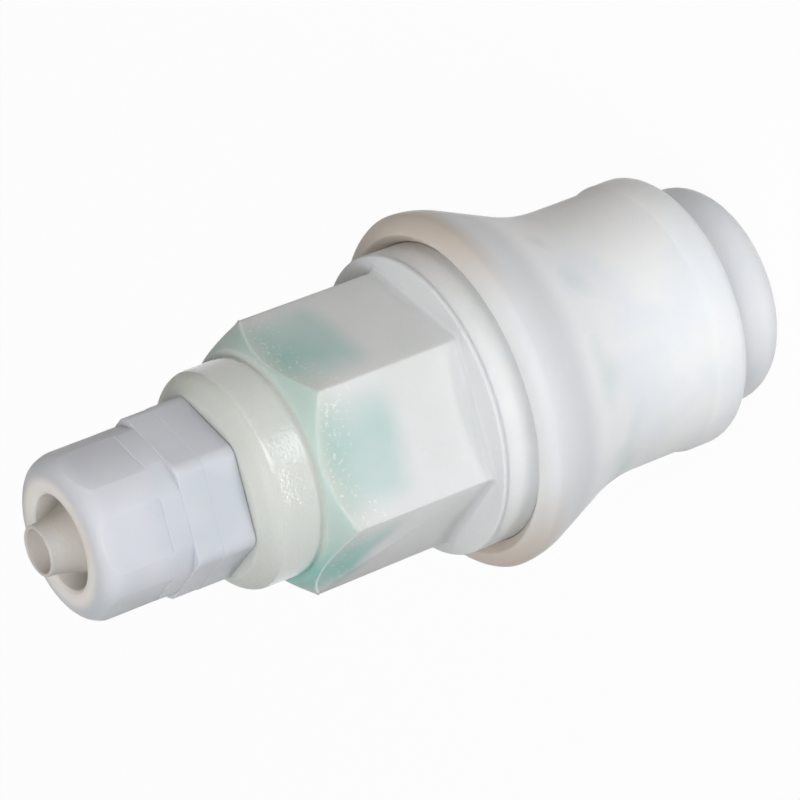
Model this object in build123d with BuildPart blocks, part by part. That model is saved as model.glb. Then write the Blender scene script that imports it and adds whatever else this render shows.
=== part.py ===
from build123d import *
import os
from math import cos, radians, sin, sqrt, tan

os.makedirs("parts", exist_ok=True)

# A plastic quick disconnect coupling, the socket half. It stands on its mating end at z = 0, with
# the axis along +Z up to the hose nozzle. Millimetres throughout.

# ---------------------------------------------------------------------------
# Driving dimensions
# ---------------------------------------------------------------------------

# The plug that the socket takes
plug_shank_diameter = 11.5
plug_nose_diameter = 9.9
plug_clearance = 0.05

# Locking balls and the travel of the sleeve that frees them
ball_count = 6
ball_diameter = 3.2
ball_lift = 0.8
ball_clearance = 0.05
ball_cover = 0.4
ball_lip = 0.1
ball_sides = 8
ball_land = 1.0
sleeve_travel = 4.0

# Running and seating clearances
slide_clearance = 0.1
rim_clearance = 0.15
stop_gap = 0.1
seat_gap = 0.05
joint_clearance = 0.05
thread_clearance = 0.1
spring_room = 0.3
end_gap = 0.02

# Front ring, screwed on the nose of the socket body
ring_length = 7.2
ring_shoulder = 1.07
ring_edge_radius = 2.4
ring_lip = 1.0
nose_wall = 1.2
mouth_flare = 0.9

# Socket body
socket_depth = 3.7
lead_in = 0.8
plug_land = 3.5
plug_seal_section = 1.9
seal_side_room = 0.35
seal_squeeze = 0.25
poppet_reach = 11.7
flange_rim = 3.8
flange_step = 1.6
flange_edge = 0.2
body_thread_diameter = 16.0
seat_lip = 0.9
seat_taper = 1.5
joint_seal_section = 1.3
joint_seal_inset = 1.6

# Sleeve
ring_overlap = 1.1
land_length = 2.8
sleeve_wall = 2.06
front_bead = 0.31
front_bead_length = 3.2
front_edge_radius = 1.2
bead_fade = 0.7
waist_radius = 16.0
flare_angle = 23.0
lip_wall = 2.55
lip_radius = 7.0
lip_nose_radius = 1.15
lip_dish = 0.85
seam_overlap = 0.4
pull_stop_room = 0.3
sleeve_chamfer = 0.3

# Sleeve spring and valve spring
sleeve_spring_wire = 1.0
sleeve_spring_length = 10.0
sleeve_spring_turns = 5
valve_spring_wire = 0.7
valve_spring_length = 10.0
valve_spring_turns = 6
valve_spring_diameter = 7.7

# Adapter
hex_across_flats = 22.0
hex_length = 16.8
hex_bevel = 1.92
flange_margin = 1.3
collar_radius = 10.14
collar_length = 5.7
collar_bevel_height = 0.85
collar_bevel_depth = 1.3
hose_thread_diameter = 12.0
hose_thread_length = 8.2
nozzle_radius = 3.4
nozzle_tip_radius = 2.35
nozzle_bore_radius = 2.0
nozzle_length = 8.7
nozzle_flare_length = 4.2
nozzle_waist_radius = 2.75
nozzle_waist_length = 2.1
chamber_roof = 2.8

# Union nut
nut_length = 14.65
nut_flats = 14.92
nut_grip_length = 5.8
nut_grip_line = 3.2
nut_line_step = 0.1
nut_neck_length = 2.0
nut_neck_step = 0.3
nut_front_step = 0.52
nut_front_radius = 7.65
nut_bevel = 0.4
nut_nose_radius = 2.0
nut_mouth_radius = 4.4
nut_mouth_length = 2.2
nut_mouth_edge = 0.3
nut_runout = 0.9
nut_turn = -4.0

# Valve
valve_travel = 3.0
flow_gap = 2.0
head_thickness = 1.75
head_rim = 0.3
head_boss_length = 2.0
head_hub_radius = 2.4
head_pin_radius = 1.5
head_pin_grip = 2.5
head_pin_room = 0.2
valve_seal_thickness = 3.2
valve_seal_overlap = 0.7
valve_seal_bevel = 0.5
wing_count = 4
wing_thickness = 1.2
wing_clearance = 0.15
wing_bevel = 0.8
stem_radius = 2.2
neck_radius = 3.4
neck_length = 1.5

# ---------------------------------------------------------------------------
# Radii that follow
# ---------------------------------------------------------------------------

ball_radius = ball_diameter / 2
guide_radius = plug_shank_diameter / 2 + plug_clearance
plug_bore_radius = plug_nose_diameter / 2 + plug_clearance
ball_lock_radius = guide_radius - ball_lift + ball_radius
barrel_radius = ball_lock_radius + ball_lift + ball_cover
nose_radius = guide_radius + nose_wall
land_radius = barrel_radius + slide_clearance

# The sleeve's inner cone lifts each ball by ball_lift over the sleeve's travel.
ramp_slope = ball_lift / sleeve_travel
ramp_radius = ball_lock_radius + (ball_radius + ball_clearance) * sqrt(1 + ramp_slope**2)
ramp_mouth_radius = ramp_radius + ramp_slope * (sleeve_travel + ball_land)

ring_radius = ramp_mouth_radius + ring_shoulder
sleeve_mouth_radius = ring_radius + rim_clearance
sleeve_waist = sleeve_mouth_radius + sleeve_wall

sleeve_spring_radius = barrel_radius + spring_room + sleeve_spring_wire / 2
sleeve_cavity_radius = sleeve_spring_radius + sleeve_spring_wire / 2 + spring_room
valve_spring_radius = (valve_spring_diameter - valve_spring_wire) / 2
spring_pocket_radius = valve_spring_diameter / 2 + spring_room
head_boss_radius = valve_spring_radius - valve_spring_wire / 2 - spring_room

hex_corner_radius = hex_across_flats / 2 / cos(radians(30))
flange_radius = hex_corner_radius + flange_margin
flange_root_radius = sleeve_cavity_radius + flange_step
flange_bore_radius = flange_radius + rim_clearance
sleeve_lip = flange_bore_radius + lip_wall

body_thread_radius = body_thread_diameter / 2
chamber_radius = body_thread_radius + thread_clearance
hose_thread_radius = hose_thread_diameter / 2
seat_radius = plug_bore_radius + seat_lip
valve_seal_radius = seat_radius + valve_seal_overlap

# ---------------------------------------------------------------------------
# Heights that follow, from the mating face upwards
# ---------------------------------------------------------------------------

sleeve_front_z = ring_length - ring_overlap
sleeve_stop_z = ring_length + stop_gap
ball_z = sleeve_stop_z + sleeve_travel + ball_land
land_z = ball_z + (ramp_radius - land_radius) / ramp_slope
sleeve_shoulder_z = land_z + land_length
spring_seat_z = sleeve_shoulder_z + sleeve_spring_length
flange_rim_z = spring_seat_z + flange_radius - flange_root_radius
flange_top_z = flange_rim_z + flange_rim
hex_top_z = flange_top_z + hex_length
collar_top_z = hex_top_z + collar_length
hose_thread_top_z = collar_top_z + hose_thread_length
nozzle_tip_z = hose_thread_top_z + nozzle_length
nut_bottom_z = collar_top_z + stop_gap
nut_top_z = nut_bottom_z + nut_length

socket_floor_z = ball_z + socket_depth
plug_seal_z = socket_floor_z + plug_land + plug_seal_section / 2 + seal_side_room
wing_front_z = socket_floor_z + poppet_reach

chamber_top_z = collar_top_z - chamber_roof
head_rear_z = chamber_top_z - flow_gap - valve_travel
head_front_z = head_rear_z - head_thickness
valve_seal_front_z = head_front_z - valve_seal_thickness
seat_z = valve_seal_front_z - seat_gap
spring_pocket_z = head_rear_z + valve_spring_length


def rounded(centre, radius, start, end, steps=3):
    """Points along an arc between two angles in degrees, so a round is a few short facets."""
    points = []
    for step in range(steps + 1):
        angle = radians(start + (end - start) * step / steps)
        points.append((centre[0] + radius * cos(angle), centre[1] + radius * sin(angle)))
    return points


# ---------------------------------------------------------------------------
# Socket body: nose, barrel with the ball pockets, flange and the threaded
# tube whose end is the valve seat
# ---------------------------------------------------------------------------

plug_groove_radius = plug_bore_radius + plug_seal_section - seal_squeeze
ball_lip_radius = ball_radius - ball_lip
ball_lip_top = ball_lock_radius - sqrt(ball_radius**2 - (ball_lip_radius - ball_clearance) ** 2)
joint_groove_depth = joint_seal_section + 2 * end_gap
joint_seal_radius = body_thread_radius + joint_seal_inset

with BuildPart() as socket_body:
    with BuildSketch(Plane.XZ):
        with BuildLine():
            Polyline(
                (guide_radius, ring_lip),
                (nose_radius, ring_lip),
                (nose_radius, ring_length),
                (barrel_radius, ring_length),
                (barrel_radius, spring_seat_z),
                (flange_root_radius, spring_seat_z),
                (flange_radius, flange_rim_z),
                (flange_radius, flange_top_z - flange_edge),
                (flange_radius - flange_edge, flange_top_z),
                (body_thread_radius, flange_top_z),
                (body_thread_radius, seat_z - seat_taper),
                (seat_radius, seat_z),
                (plug_bore_radius, seat_z),
                (plug_bore_radius, socket_floor_z),
                (guide_radius, socket_floor_z - lead_in),
                close=True,
            )
        make_face()
    revolve(axis=Axis.Z)
    with BuildSketch(Plane.XZ):
        with Locations((plug_bore_radius, plug_seal_z)):
            Rectangle(
                plug_groove_radius - plug_bore_radius,
                plug_seal_section + 2 * seal_side_room,
                align=(Align.MIN, Align.CENTER),
            )
        with Locations((joint_seal_radius, flange_top_z)):
            Rectangle(
                joint_seal_section + 2 * seal_side_room,
                joint_groove_depth,
                align=(Align.CENTER, Align.MAX),
            )
    revolve(axis=Axis.Z, mode=Mode.SUBTRACT)
    # Each ball sits in a radial hole, on a small lip that keeps it out of the bore.
    with PolarLocations(0, ball_count):
        with Locations(Location((barrel_radius, 0, ball_z), (0, 90, 0))):
            CounterBoreHole(
                radius=ball_lip_radius,
                counter_bore_radius=ball_radius + ball_clearance,
                counter_bore_depth=barrel_radius - ball_lip_top,
                depth=barrel_radius,
            )
socket_body.part.label = "socket_body"
export_step(socket_body.part, "parts/socket_body.step")

# ---------------------------------------------------------------------------
# Front ring: the round collar at the mouth, which the sleeve rests against
# ---------------------------------------------------------------------------

with BuildPart() as front_ring:
    with BuildSketch(Plane.XZ):
        with BuildLine():
            Polyline(
                (guide_radius + mouth_flare, 0),
                *rounded((ring_radius - ring_edge_radius, ring_edge_radius), ring_edge_radius, -90, 0, 4),
                (ring_radius, ring_length),
                (nose_radius + joint_clearance, ring_length),
                (nose_radius + joint_clearance, ring_lip),
                (guide_radius, ring_lip),
                close=True,
            )
        make_face()
    revolve(axis=Axis.Z)
front_ring.part.label = "front_ring"
export_step(front_ring.part, "parts/front_ring.step")

# ---------------------------------------------------------------------------
# Sleeve: waisted grip with a flared rear lip, pulled towards the hose to let
# the plug go
# ---------------------------------------------------------------------------

seam_z = flange_rim_z + seam_overlap
crest_z = seam_z + lip_dish
pull_cone_z = flange_rim_z - sleeve_travel - pull_stop_room
bead_radius = sleeve_waist + front_bead
bead_end_z = sleeve_front_z + front_bead_length
lip_widest_z = crest_z - lip_nose_radius

# The flare is a straight cone between two arcs, one tangent to the waist and one to the lip.
flare_slope = tan(radians(flare_angle))
lip_bend_radius = sleeve_lip - lip_radius * (1 - cos(radians(flare_angle)))
lip_bend_z = lip_widest_z - lip_radius * sin(radians(flare_angle))
waist_bend_radius = sleeve_waist + waist_radius * (1 - cos(radians(flare_angle)))
waist_bend_z = lip_bend_z - (lip_bend_radius - waist_bend_radius) / flare_slope
waist_end_z = waist_bend_z - waist_radius * sin(radians(flare_angle))

front_edge_centre = (bead_radius - front_edge_radius, sleeve_front_z + front_edge_radius)
waist_centre = (sleeve_waist + waist_radius, waist_end_z)
lip_centre = (sleeve_lip - lip_radius, lip_widest_z)
lip_nose_centre = (sleeve_lip - lip_nose_radius, lip_widest_z)

with BuildPart() as sleeve:
    with BuildSketch(Plane.XZ):
        with BuildLine():
            Polyline(
                (sleeve_mouth_radius, sleeve_front_z),
                *rounded(front_edge_centre, front_edge_radius, -90, 0),
                (bead_radius, bead_end_z),
                (sleeve_waist, bead_end_z + bead_fade),
                *rounded(waist_centre, waist_radius, 180, 180 - flare_angle, 2),
                *rounded(lip_centre, lip_radius, -flare_angle, 0, 2),
                *rounded(lip_nose_centre, lip_nose_radius, 0, 90)[1:],
                (flange_bore_radius + sleeve_chamfer, seam_z),
                (flange_bore_radius, seam_z - sleeve_chamfer),
                (flange_bore_radius, pull_cone_z),
                (sleeve_cavity_radius, pull_cone_z - flange_bore_radius + sleeve_cavity_radius),
                (sleeve_cavity_radius, sleeve_shoulder_z),
                (land_radius, sleeve_shoulder_z),
                (land_radius, land_z),
                (ramp_mouth_radius, sleeve_stop_z),
                (sleeve_mouth_radius, sleeve_stop_z),
                close=True,
            )
        make_face()
    revolve(axis=Axis.Z)
sleeve.part.label = "sleeve"
export_step(sleeve.part, "parts/sleeve.step")


# ---------------------------------------------------------------------------
# Springs: coils with both ends ground flat. The wire is a six-sided bar in
# short straight lengths, which keeps a hidden piece light.
# ---------------------------------------------------------------------------

steps_per_turn = 20
wire_sides = 6


def coil_spring(bottom_z, length, coil_radius, wire_diameter, turns):
    """A compression spring that fills the length, less a hair at each end."""
    low_z = bottom_z + end_gap
    height = length - 2 * end_gap
    steps = turns * steps_per_turn
    corners = []
    for step in range(steps + 1):
        angle = radians(360 * step / steps_per_turn)
        corners.append((coil_radius * cos(angle), coil_radius * sin(angle), low_z + height * step / steps))
    with BuildPart() as spring:
        with BuildLine() as coil:
            Polyline(*corners)
        with BuildSketch(Plane(origin=coil.line @ 0, z_dir=coil.line % 0)):
            RegularPolygon(wire_diameter / 2, wire_sides)
        sweep(path=coil.line, transition=Transition.RIGHT)
        with Locations((0, 0, low_z)):
            Cylinder(
                coil_radius + wire_diameter,
                height,
                align=(Align.CENTER, Align.CENTER, Align.MIN),
                mode=Mode.INTERSECT,
            )
    return spring


sleeve_spring = coil_spring(
    sleeve_shoulder_z, sleeve_spring_length, sleeve_spring_radius, sleeve_spring_wire, sleeve_spring_turns
)
sleeve_spring.part.label = "sleeve_spring"
export_step(sleeve_spring.part, "parts/sleeve_spring.step")

valve_spring = coil_spring(
    head_rear_z, valve_spring_length, valve_spring_radius, valve_spring_wire, valve_spring_turns
)
valve_spring.part.label = "valve_spring"
export_step(valve_spring.part, "parts/valve_spring.step")

# ---------------------------------------------------------------------------
# Locking balls, one in each pocket
# ---------------------------------------------------------------------------

for number in range(ball_count):
    angle = radians(360 / ball_count * number)
    centre = (ball_lock_radius * cos(angle), ball_lock_radius * sin(angle), ball_z)
    with BuildPart() as locking_ball:
        with BuildSketch(Plane(origin=centre, x_dir=(1, 0, 0), z_dir=(0, -1, 0))):
            RegularPolygon(ball_radius, ball_sides)
            Rectangle(
                ball_diameter, ball_diameter, align=(Align.MIN, Align.CENTER), mode=Mode.INTERSECT
            )
        revolve(axis=Axis(centre, (0, 0, 1)))
    locking_ball.part.label = f"locking_ball_{number + 1}"
    export_step(locking_ball.part, f"parts/locking_ball_{number + 1}.step")

# ---------------------------------------------------------------------------
# O-rings: the plug seal in the bore and the joint seal under the adapter,
# each with an eight-sided section
# ---------------------------------------------------------------------------

ring_sides = 8
plug_seal_radius = plug_groove_radius - end_gap - plug_seal_section / 2

with BuildPart() as plug_seal:
    with BuildSketch(Plane.XZ):
        with Locations((plug_seal_radius, plug_seal_z)):
            RegularPolygon(plug_seal_section / 2, ring_sides, major_radius=False, rotation=180 / ring_sides)
    revolve(axis=Axis.Z)
plug_seal.part.label = "plug_seal"
export_step(plug_seal.part, "parts/plug_seal.step")

with BuildPart() as joint_seal:
    with BuildSketch(Plane.XZ):
        with Locations((joint_seal_radius, flange_top_z - joint_groove_depth / 2)):
            RegularPolygon(joint_seal_section / 2, ring_sides, major_radius=False, rotation=180 / ring_sides)
    revolve(axis=Axis.Z)
joint_seal.part.label = "joint_seal"
export_step(joint_seal.part, "parts/joint_seal.step")

# ---------------------------------------------------------------------------
# Adapter: hexagon, collar, threaded spigot and hose nozzle in one moulding
# ---------------------------------------------------------------------------

with BuildPart() as adapter:
    with BuildSketch(Plane.XY.offset(flange_top_z)):
        RegularPolygon(radius=hex_corner_radius, side_count=6)
    extrude(amount=hex_length)
    with BuildSketch(Plane.XZ):
        with BuildLine():
            Polyline(
                (0, flange_top_z),
                (hex_corner_radius, flange_top_z),
                (hex_corner_radius, hex_top_z - hex_bevel),
                (hex_corner_radius - hex_bevel, hex_top_z),
                (0, hex_top_z),
                close=True,
            )
        make_face()
    revolve(axis=Axis.Z, mode=Mode.INTERSECT)
    with BuildSketch(Plane.XZ):
        with BuildLine():
            Polyline(
                (0, hex_top_z),
                (collar_radius, hex_top_z),
                (collar_radius, collar_top_z - collar_bevel_height),
                (collar_radius - collar_bevel_depth, collar_top_z),
                (hose_thread_radius, collar_top_z),
                (hose_thread_radius, hose_thread_top_z),
                (nozzle_radius, hose_thread_top_z),
                (nozzle_radius, nozzle_tip_z - nozzle_flare_length),
                (nozzle_waist_radius, nozzle_tip_z - nozzle_waist_length),
                (nozzle_tip_radius, nozzle_tip_z),
                (0, nozzle_tip_z),
                close=True,
            )
        make_face()
    revolve(axis=Axis.Z)
    with BuildSketch(Plane.XZ):
        with BuildLine():
            Polyline(
                (0, flange_top_z),
                (chamber_radius, flange_top_z),
                (chamber_radius, chamber_top_z),
                (spring_pocket_radius, chamber_top_z),
                (spring_pocket_radius, spring_pocket_z),
                (nozzle_bore_radius, spring_pocket_z),
                (nozzle_bore_radius, nozzle_tip_z),
                (0, nozzle_tip_z),
                close=True,
            )
        make_face()
    revolve(axis=Axis.Z, mode=Mode.SUBTRACT)
adapter.part.label = "adapter"
export_step(adapter.part, "parts/adapter.step")

# ---------------------------------------------------------------------------
# Union nut: stepped hexagon with a rounded nose, which clamps the hose on the
# nozzle
# ---------------------------------------------------------------------------

nut_corner_radius = nut_flats / 2 / cos(radians(30))
nut_shoulder_z = nut_bottom_z + nut_grip_length
nut_front_length = nut_length - nut_grip_length - nut_neck_length
nut_nose_centre = (nut_front_radius - nut_nose_radius, nut_top_z - nut_nose_radius)
nut_bands = (
    (nut_grip_line, nut_flats),
    (nut_grip_length - nut_grip_line, nut_flats - nut_line_step),
    (nut_neck_length, nut_flats - nut_neck_step),
    (nut_front_length, nut_flats - nut_front_step),
)

with BuildPart() as union_nut:
    band_z = nut_bottom_z
    for band_length, band_flats in nut_bands:
        with BuildSketch(Plane.XY.offset(band_z)):
            RegularPolygon(radius=band_flats / 2, side_count=6, major_radius=False, rotation=nut_turn)
        extrude(amount=band_length)
        band_z += band_length
    with BuildSketch(Plane.XZ):
        with BuildLine():
            Polyline(
                (0, nut_bottom_z),
                (nut_corner_radius, nut_bottom_z),
                (nut_corner_radius, nut_shoulder_z - nut_bevel),
                (nut_corner_radius - nut_bevel, nut_shoulder_z),
                (nut_front_radius, nut_shoulder_z),
                *rounded(nut_nose_centre, nut_nose_radius, 0, 90, 4),
                (0, nut_top_z),
                close=True,
            )
        make_face()
    revolve(axis=Axis.Z, mode=Mode.INTERSECT)
    with BuildSketch(Plane.XZ):
        with BuildLine():
            Polyline(
                (0, nut_bottom_z),
                (hose_thread_radius + thread_clearance, nut_bottom_z),
                (hose_thread_radius + thread_clearance, hose_thread_top_z + nut_runout),
                (nut_mouth_radius, nut_top_z - nut_mouth_length),
                (nut_mouth_radius, nut_top_z - nut_mouth_edge),
                (nut_mouth_radius + nut_mouth_edge, nut_top_z),
                (0, nut_top_z),
                close=True,
            )
        make_face()
    revolve(axis=Axis.Z, mode=Mode.SUBTRACT)
union_nut.part.label = "union_nut"
export_step(union_nut.part, "parts/union_nut.step")

# ---------------------------------------------------------------------------
# Valve: a winged stem that the plug pushes, the seal ring, and the head
# behind it whose pin is screwed into the stem
# ---------------------------------------------------------------------------

wing_radius = plug_bore_radius - wing_clearance
neck_z = valve_seal_front_z - neck_length

with BuildPart() as valve_stem:
    with BuildSketch(Plane.XY.offset(wing_front_z)):
        with PolarLocations(0, wing_count):
            Rectangle(wing_radius, wing_thickness, align=(Align.MIN, Align.CENTER))
    extrude(amount=neck_z - wing_front_z)
    with BuildSketch(Plane.XZ):
        with BuildLine():
            Polyline(
                (0, wing_front_z),
                (wing_radius - wing_bevel, wing_front_z),
                (wing_radius, wing_front_z + wing_bevel),
                (wing_radius, neck_z - wing_bevel),
                (neck_radius, neck_z),
                (0, neck_z),
                close=True,
            )
        make_face()
    revolve(axis=Axis.Z, mode=Mode.INTERSECT)
    with BuildSketch(Plane.XZ):
        with BuildLine():
            Polyline(
                (0, wing_front_z),
                (stem_radius, wing_front_z),
                (stem_radius, neck_z - neck_length),
                (neck_radius, neck_z),
                (neck_radius, valve_seal_front_z),
                (0, valve_seal_front_z),
                close=True,
            )
        make_face()
    revolve(axis=Axis.Z)
    with Locations((0, 0, valve_seal_front_z)):
        Hole(head_pin_radius + joint_clearance, head_pin_grip + head_pin_room)
valve_stem.part.label = "valve_stem"
export_step(valve_stem.part, "parts/valve_stem.step")

with BuildPart() as valve_seal:
    with BuildSketch(Plane.XZ):
        with BuildLine():
            Polyline(
                (head_hub_radius + joint_clearance, valve_seal_front_z),
                (valve_seal_radius - valve_seal_bevel, valve_seal_front_z),
                (valve_seal_radius, valve_seal_front_z + valve_seal_bevel),
                (valve_seal_radius, head_front_z),
                (head_hub_radius + joint_clearance, head_front_z),
                close=True,
            )
        make_face()
    revolve(axis=Axis.Z)
valve_seal.part.label = "valve_seal"
export_step(valve_seal.part, "parts/valve_seal.step")

head_radius = valve_seal_radius + head_rim

with BuildPart() as valve_head:
    with BuildSketch(Plane.XZ):
        with BuildLine():
            Polyline(
                (0, valve_seal_front_z - head_pin_grip),
                (head_pin_radius, valve_seal_front_z - head_pin_grip),
                (head_pin_radius, valve_seal_front_z),
                (head_hub_radius, valve_seal_front_z),
                (head_hub_radius, head_front_z),
                (head_radius, head_front_z),
                (head_radius, head_rear_z),
                (head_boss_radius, head_rear_z),
                (head_boss_radius, head_rear_z + head_boss_length),
                (0, head_rear_z + head_boss_length),
                close=True,
            )
        make_face()
        chamfer(vertices().group_by(Axis.Y)[-2].sort_by(Axis.X)[-1], head_rim)
    revolve(axis=Axis.Z)
valve_head.part.label = "valve_head"
export_step(valve_head.part, "parts/valve_head.step")
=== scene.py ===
from math import cos, pi, radians, sin, sqrt, tan

import bmesh
import bpy
from mathutils import Euler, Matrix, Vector


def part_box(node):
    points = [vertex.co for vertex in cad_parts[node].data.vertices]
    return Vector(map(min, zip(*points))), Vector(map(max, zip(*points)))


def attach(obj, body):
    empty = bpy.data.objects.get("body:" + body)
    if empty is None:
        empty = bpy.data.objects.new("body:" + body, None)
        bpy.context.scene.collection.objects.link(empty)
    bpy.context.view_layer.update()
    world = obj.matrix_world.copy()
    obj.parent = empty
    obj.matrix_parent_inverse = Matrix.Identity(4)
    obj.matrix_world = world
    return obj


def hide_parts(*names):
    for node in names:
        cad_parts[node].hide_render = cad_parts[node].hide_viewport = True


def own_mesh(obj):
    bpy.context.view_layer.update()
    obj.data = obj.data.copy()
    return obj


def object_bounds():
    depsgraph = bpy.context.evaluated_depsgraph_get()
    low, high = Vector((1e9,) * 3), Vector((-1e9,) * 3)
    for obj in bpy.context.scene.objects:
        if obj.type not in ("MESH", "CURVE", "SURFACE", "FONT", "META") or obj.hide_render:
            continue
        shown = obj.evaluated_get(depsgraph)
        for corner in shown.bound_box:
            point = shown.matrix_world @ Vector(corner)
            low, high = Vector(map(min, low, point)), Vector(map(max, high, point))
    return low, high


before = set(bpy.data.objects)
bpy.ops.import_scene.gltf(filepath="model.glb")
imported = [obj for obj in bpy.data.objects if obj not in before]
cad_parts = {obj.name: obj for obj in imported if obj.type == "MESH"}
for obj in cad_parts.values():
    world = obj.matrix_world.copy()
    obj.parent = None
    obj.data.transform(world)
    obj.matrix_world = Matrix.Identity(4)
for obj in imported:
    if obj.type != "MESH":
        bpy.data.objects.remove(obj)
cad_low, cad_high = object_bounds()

# A plastic quick disconnect coupling in natural moulded plastic. Sizes are in millimetres and
# turned to metres by MM where a mesh is made. Z runs along the axis, from the mating end up.

MM = 0.001
SIDES = 192            # sides of every turned piece
EDGE_ANGLE = radians(28)
HAIR = 0.02            # the least room between two pieces

AXIS_CENTRE = Vector((0, 0, (cad_low.z + cad_high.z) / 2))


def low(node):
    """Height of a node's lower end, in millimetres."""
    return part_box(node)[0].z / MM


def high(node):
    """Height of a node's upper end, in millimetres."""
    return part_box(node)[1].z / MM


def reach(node):
    """How far a node reaches from the axis along X, in millimetres."""
    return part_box(node)[1].x / MM


# ---------------------------------------------------------------------------
# Modelling helpers
# ---------------------------------------------------------------------------

def start_piece(name):
    """Names the primitive just added and leaves it open in edit mode, all selected."""
    piece = bpy.context.object
    piece.name = name
    piece.data.name = name
    bpy.ops.object.mode_set(mode="EDIT")
    bpy.ops.mesh.select_all(action="SELECT")
    return piece


def end_piece(piece):
    """Closes a piece's mesh: doubles merged, faces outwards, its place put into the mesh."""
    bpy.ops.mesh.select_all(action="SELECT")
    bpy.ops.mesh.remove_doubles(threshold=0.001 * MM)
    bpy.ops.mesh.normals_make_consistent(inside=False)
    bpy.ops.object.mode_set(mode="OBJECT")
    bpy.ops.object.transform_apply(location=True, rotation=True, scale=True)
    return piece


def arc(centre, radius, start, end, steps=10):
    """Points along an arc in the half section, between two angles in degrees."""
    points = []
    for step in range(steps + 1):
        angle = radians(start + (end - start) * step / steps)
        points.append((centre[0] + radius * cos(angle), centre[1] + radius * sin(angle)))
    return points


def rolled(start, corner, end, steps=8):
    """Points of a soft roll from start to end, round a corner that it doesn't reach."""
    points = []
    for step in range(steps + 1):
        share = step / steps
        points.append(
            tuple(
                (1 - share) ** 2 * first + 2 * share * (1 - share) * middle + share**2 * last
                for first, middle, last in zip(start, corner, end)
            )
        )
    return points


def turned(name, outline):
    """A ring turned round the axis from its closed half section of (radius, height) points."""
    bpy.ops.object.select_all(action="DESELECT")
    radius, height = outline[0]
    bpy.ops.mesh.primitive_circle_add(
        vertices=SIDES, radius=radius * MM, fill_type="NOTHING", location=(0, 0, height * MM)
    )
    piece = start_piece(name)
    for next_radius, next_height in outline[1:] + outline[:1]:
        rise = (next_height - height) * MM
        bpy.ops.mesh.extrude_region_move(TRANSFORM_OT_translate={"value": (0, 0, rise)})
        widen = next_radius / radius
        bpy.ops.transform.resize(value=(widen, widen, 1), center_override=(0, 0, next_height * MM))
        radius, height = next_radius, next_height
    return end_piece(piece)


def apply_modifier(piece, kind, **settings):
    """Adds a modifier with its settings and applies it."""
    bpy.ops.object.select_all(action="DESELECT")
    bpy.context.view_layer.objects.active = piece
    piece.select_set(True)
    modifier = piece.modifiers.new(kind.title(), kind)
    for setting, value in settings.items():
        setattr(modifier, setting, value)
    bpy.ops.object.modifier_apply(modifier=modifier.name)


def ease_edges(piece, width, segments=3, crisp=None):
    """Rounds the sharp edges of a moulded piece by a width in millimetres, and smooths its shading.

    Edges at the crisp height stay as they are, because the piece is welded to another there.
    """
    shell = bmesh.new()
    shell.from_mesh(piece.data)
    eased = shell.edges.layers.float.new("bevel_weight_edge")
    for edge in shell.edges:
        sharp = edge.is_manifold and edge.calc_face_angle() > EDGE_ANGLE
        welded = crisp is not None and all(abs(end.co.z / MM - crisp) < 0.01 for end in edge.verts)
        edge[eased] = 1 if sharp and not welded else 0
    shell.to_mesh(piece.data)
    shell.free()
    apply_modifier(
        piece,
        "BEVEL",
        width=width * MM,
        segments=segments,
        limit_method="WEIGHT",
        use_clamp_overlap=True,
    )
    bpy.ops.object.shade_smooth_by_angle(angle=EDGE_ANGLE)


def keep_inside(piece, mould):
    """Cuts a piece down to what lies inside the mould, and removes the mould."""
    apply_modifier(piece, "BOOLEAN", operation="INTERSECT", solver="EXACT", object=mould)
    bpy.data.objects.remove(mould)


def cut_away(piece, cutter, operation="DIFFERENCE"):
    """Takes a cutter out of a piece, or joins it on with UNION, and removes the cutter."""
    apply_modifier(piece, "BOOLEAN", operation=operation, solver="EXACT", object=cutter)
    bpy.data.objects.remove(cutter)


def bar(name, outline, sides=SIDES, turn=0.0, rounding=0.0):
    """A solid bar round the axis from its (radius, height) points, from the bottom up.

    The rounding, in millimetres, softens the corners between its sides.
    """
    bpy.ops.object.select_all(action="DESELECT")
    radius, height = outline[0]
    bpy.ops.mesh.primitive_circle_add(
        vertices=sides,
        radius=radius * MM,
        fill_type="NGON",
        location=(0, 0, height * MM),
        rotation=(0, 0, turn),
    )
    piece = start_piece(name)
    if rounding:
        bpy.ops.mesh.bevel(offset=rounding * MM, segments=6, affect="VERTICES")
        bpy.ops.mesh.select_all(action="SELECT")
    for next_radius, next_height in outline[1:]:
        rise = (next_height - height) * MM
        bpy.ops.mesh.extrude_region_move(TRANSFORM_OT_translate={"value": (0, 0, rise)})
        widen = next_radius / radius
        bpy.ops.transform.resize(value=(widen, widen, 1), center_override=(0, 0, next_height * MM))
        radius, height = next_radius, next_height
    return end_piece(piece)


def corner(across_flats):
    """Radius to the corners of a hexagon, from its width across flats."""
    return across_flats / 2 / cos(radians(30))


def finish_piece(piece, body, material, slot, *nodes):
    """Puts a finished piece on its body, with its material, in place of the nodes it stands for."""
    piece.data.materials.clear()
    piece.data.materials.append(material)
    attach(piece, body)
    if nodes:
        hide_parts(*nodes)


# ---------------------------------------------------------------------------
# Camera: a long lens, high and a little to the right, with the hose end low
# on the left of the view
# ---------------------------------------------------------------------------

CAMERA_PLACE = Vector((75.07, -370.92, 234.23)) * MM
CAMERA_AIM = Vector((0.92, 0.18, 35.29)) * MM
CAMERA_ROLL = radians(-111.12)
CAMERA_LENS = 215.83   # millimetres on a 36 mm sensor

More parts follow.
